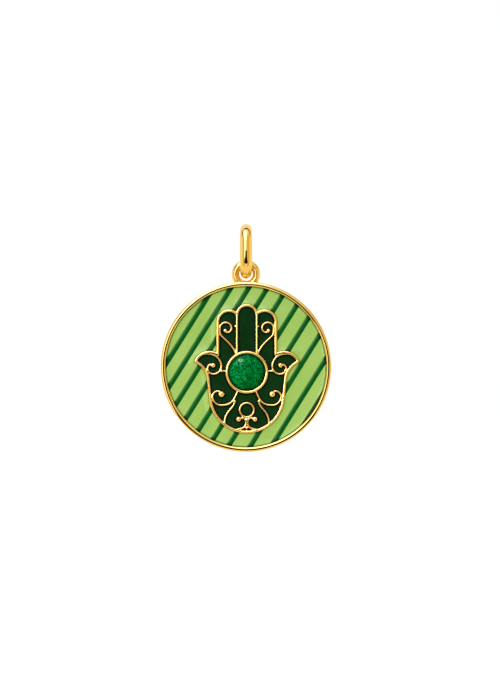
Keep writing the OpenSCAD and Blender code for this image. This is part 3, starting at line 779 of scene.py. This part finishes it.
# everything is built here
polishedGold = goldPaint("polishedGold", ("pale", "warm"), goldFinish["polished"])
buildBail().data.materials.append(polishedGold)
buildMedallion().data.materials.append(polishedGold)
print("bail, disc and eyelet done")
buildGoldwork().data.materials.append(goldPaint("satinGold", ("rich", "warm"), goldFinish["satin"]))
buildStone().data.materials.append(stonePaint())
print("stone done")
fieldPiece = buildField()
fieldPiece.data.materials.append(glazePaint("lightGreenEnamel", lightGlaze))
print("field:", len(fieldPiece.data.polygons), "faces")
stripeMaterial = stripePaint()
for i in range(len(stripes["shares"])):
    buildStripe(i).data.materials.append(stripeMaterial)
print("stripes done")
poolMaterial = glazePaint("darkGreenEnamel", darkGlaze)
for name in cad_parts:
    if name.endswith(("_enamel", "_enamel_left", "_enamel_right")) and name != "light_enamel":
        buildPool(name).data.materials.append(poolMaterial)
print("pools done")

# the studio around the pendant
studio = dict(cameraAway=400.0, sensor=36, pixelsPerMm=7.755, imageW=500, imageH=685, discPx=(246.0, 366.8),
              floorZ=-60.0, floorHalf=800, floorBack=740, sparkAway=300)
room = dict(pale=(0.98, 0.97, 0.93, 1), straw=(1.0, 0.88, 0.55, 1), amber=(0.74, 0.57, 0.24, 1),
            floorGlow=(0.82, 0.65, 0.33, 1), horizon=(1.0, 0.86, 0.5, 1), seamDark=(0.03, 0.02, 0.01, 1),
            drop=0.01, lamp=3.8, soft=1.12, fill=0.28, softAt=(45, 130))
# lamps that only glint on one piece: degrees off the camera's axis and round it, size in mm, and own brightness
sparks = [dict(name="stoneSpark", off=42, way=119, wide=66, high=48, glow=330.0, on="greenCabochon"),
          dict(name="paleSpark", off=45, way=143, wide=60, high=34, glow=50.0, on="greenCabochon"),
          dict(name="lineGlow", off=46, way=158, wide=90, high=170, glow=11.0, on="handGoldwork")]


def aim(obj, at, target):
    obj.location = at
    obj.rotation_euler = (Vector(target) - Vector(at)).to_track_quat("-Z", "Y").to_euler()


def makeCamera():
    data = bpy.data.cameras.new("camera")
    data.lens = studio["sensor"] * studio["cameraAway"] / (studio["imageH"] / studio["pixelsPerMm"])
    data.sensor_width, data.clip_start, data.clip_end = studio["sensor"], 0.01, 20
    cam = bpy.data.objects.new("camera", data)
    scene.collection.objects.link(cam)
    x = (studio["imageW"] / 2 - studio["discPx"][0]) / studio["pixelsPerMm"]
    z = disc["centreZ"] + (studio["discPx"][1] - studio["imageH"] / 2) / studio["pixelsPerMm"]
    cam.location = Vector((x, -studio["cameraAway"] - disc["crestLevel"], z)) * mm
    cam.rotation_euler = (math.radians(90), 0, 0)
    scene.camera = cam


def grey(tone): return (tone, tone, tone, 1)


def direction(off, way):
    # off: degrees from the camera's axis; way: round it from +X
    return Vector((sind(off) * cosd(way), -cosd(off), sind(off) * sind(way)))


def makeSpark(name, off, way, wide, high, glow, on):
    out = direction(off, way)
    centre = Vector((0, 0, disc["centreZ"])) * mm
    data = bpy.data.lights.new(name, "AREA")
    data.shape, data.size, data.size_y = "RECTANGLE", wide * mm, high * mm
    data.energy = glow * math.pi * wide * high * mm * mm
    light = bpy.data.objects.new(name, data)
    scene.collection.objects.link(light)
    light.visible_diffuse = False
    aim(light, centre + out * studio["sparkAway"] * mm, centre)
    group = bpy.data.collections.new(name + "Only")
    group.objects.link(bpy.data.objects[on])
    light.light_linking.receiver_collection = group


def makeWorld():
    world = bpy.data.worlds.new("studio")
    scene.world = world
    p = Paint("room", world)
    where = p.node("ShaderNodeTexCoord", out="Generated")
    x, y, z = (p.node("ShaderNodeSeparateXYZ", None, dict(Vector=where), out=axis) for axis in "XYZ")
    sideways, front = x.math("ABSOLUTE"), p.smooth(y, 0.12, 0.0)

    def widths(along, *stops):
        return p.ramp(along, [(at, grey(w)) for at, w in stops])

    # pale walls that turn to straw on the right, and amber to both sides of the camera
    warm = p.smooth(sideways, 0.12, 0.4) * (1.0 - p.smooth(sideways, 0.8, 0.98)) * p.smooth(y, 0.7, 0.3)
    warm = warm * (1.0 - p.smooth(z.math("ABSOLUTE"), 0.5, 0.8))
    walls = p.mix(p.smooth(x - z * 0.4, 0.0, 0.8), room["pale"], room["straw"])
    walls = p.mix(warm, walls, room["amber"])
    # behind the pendant the floor runs up into the wall
    walls = p.mix(p.smooth(y, 0.3, 0.7) * (1.0 - p.smooth(z, 0.0, 0.35)), walls, room["horizon"])
    # the opening for the camera is a dark drop below the axis, and gets wider and narrower on its way down
    dropW = widths(-1.0 * z, (0.0, 0.28), (0.14, 0.3), (0.24, 0.36), (0.33, 0.5), (0.4, 0.54), (0.435, 0.4),
                   (0.46, 0.0))
    drop = p.smooth(dropW - sideways, -0.02, 0.05) * front * p.smooth(z, 0.08, 0.02)
    # a seam of the tent runs overhead
    seam = 1.0 - p.smooth((y - 0.09 - x * 0.06).math("ABSOLUTE"), 0.06, 0.16)
    walls = p.mix(seam * p.smooth(z, 0.3, 0.5), walls, room["seamDark"])
    # the long lamp stands left of the camera and leans in over it
    lampW = widths(z * 0.5 + 0.5, (0.3, 0.0), (0.4, 0.12), (0.5, 0.16), (0.7, 0.24), (0.8, 0.42), (0.94, 0.38),
                   (0.99, 0.0))
    lamp = p.smooth(lampW - (x + 0.3 - z * 0.16).math("ABSOLUTE"), -0.06, 0.16) * front
    walls = p.mix(lamp, walls, grey(room["lamp"]))
    walls = p.mix(drop, walls, grey(room["drop"]))
    # the soft light comes from all round, and more from the upper left
    key = p.node("ShaderNodeVectorMath", dict(operation="DOT_PRODUCT"),
                 {0: where, 1: direction(*room["softAt"])}, out="Value")
    soft = widths(key * 0.5 + 0.5, (0.0, room["fill"]), (0.6, room["fill"]), (1.0, room["soft"]))
    # matt surfaces see the soft light, glossy ones the room, and the camera a white backdrop
    rays = {what: p.node("ShaderNodeLightPath", out="Is %s Ray" % what) for what in ("Camera", "Diffuse")}
    looks = p.mix(rays["Diffuse"], walls, soft)
    light = p.node("ShaderNodeBackground", None, dict(Color=looks, Strength=1.0))
    seen = p.node("ShaderNodeBackground", None, dict(Color=grey(1.0), Strength=1.0))
    both = p.node("ShaderNodeMixShader", None, {0: rays["Camera"], 1: light, 2: seen})
    p.tree.links.new(both.socket, p.output.inputs["Surface"])


def makeFloor():
    bm = bmesh.new()
    bmesh.ops.create_grid(bm, x_segments=8, y_segments=8, size=studio["floorHalf"] * mm)
    bmesh.ops.translate(bm, vec=(0, studio["floorBack"] * mm, studio["floorZ"] * mm), verts=bm.verts)
    mesh = bpy.data.meshes.new("floor")
    bm.to_mesh(mesh)
    bm.free()
    floor = bpy.data.objects.new("floor", mesh)
    scene.collection.objects.link(floor)
    p = Paint("paleFloor")   # white to the camera, amber in the gold's reflections
    glow = p.mix(p.node("ShaderNodeLightPath", out="Is Camera Ray"), room["floorGlow"], (1, 1, 1, 1))
    shader = p.node("ShaderNodeBsdfPrincipled", None, {"Base Color": (0.3, 0.3, 0.3, 1), "Roughness": 0.6,
                                                       "Emission Color": glow, "Emission Strength": 0.85})
    p.tree.links.new(shader.socket, p.output.inputs["Surface"])
    mesh.materials.append(p.material)


makeCamera()
makeWorld()
makeFloor()
for spark in sparks:
    makeSpark(**spark)
scene.view_settings.view_transform = "Standard"
scene.view_settings.look = "None"
scene.cycles.use_denoising = True
print("studio set")
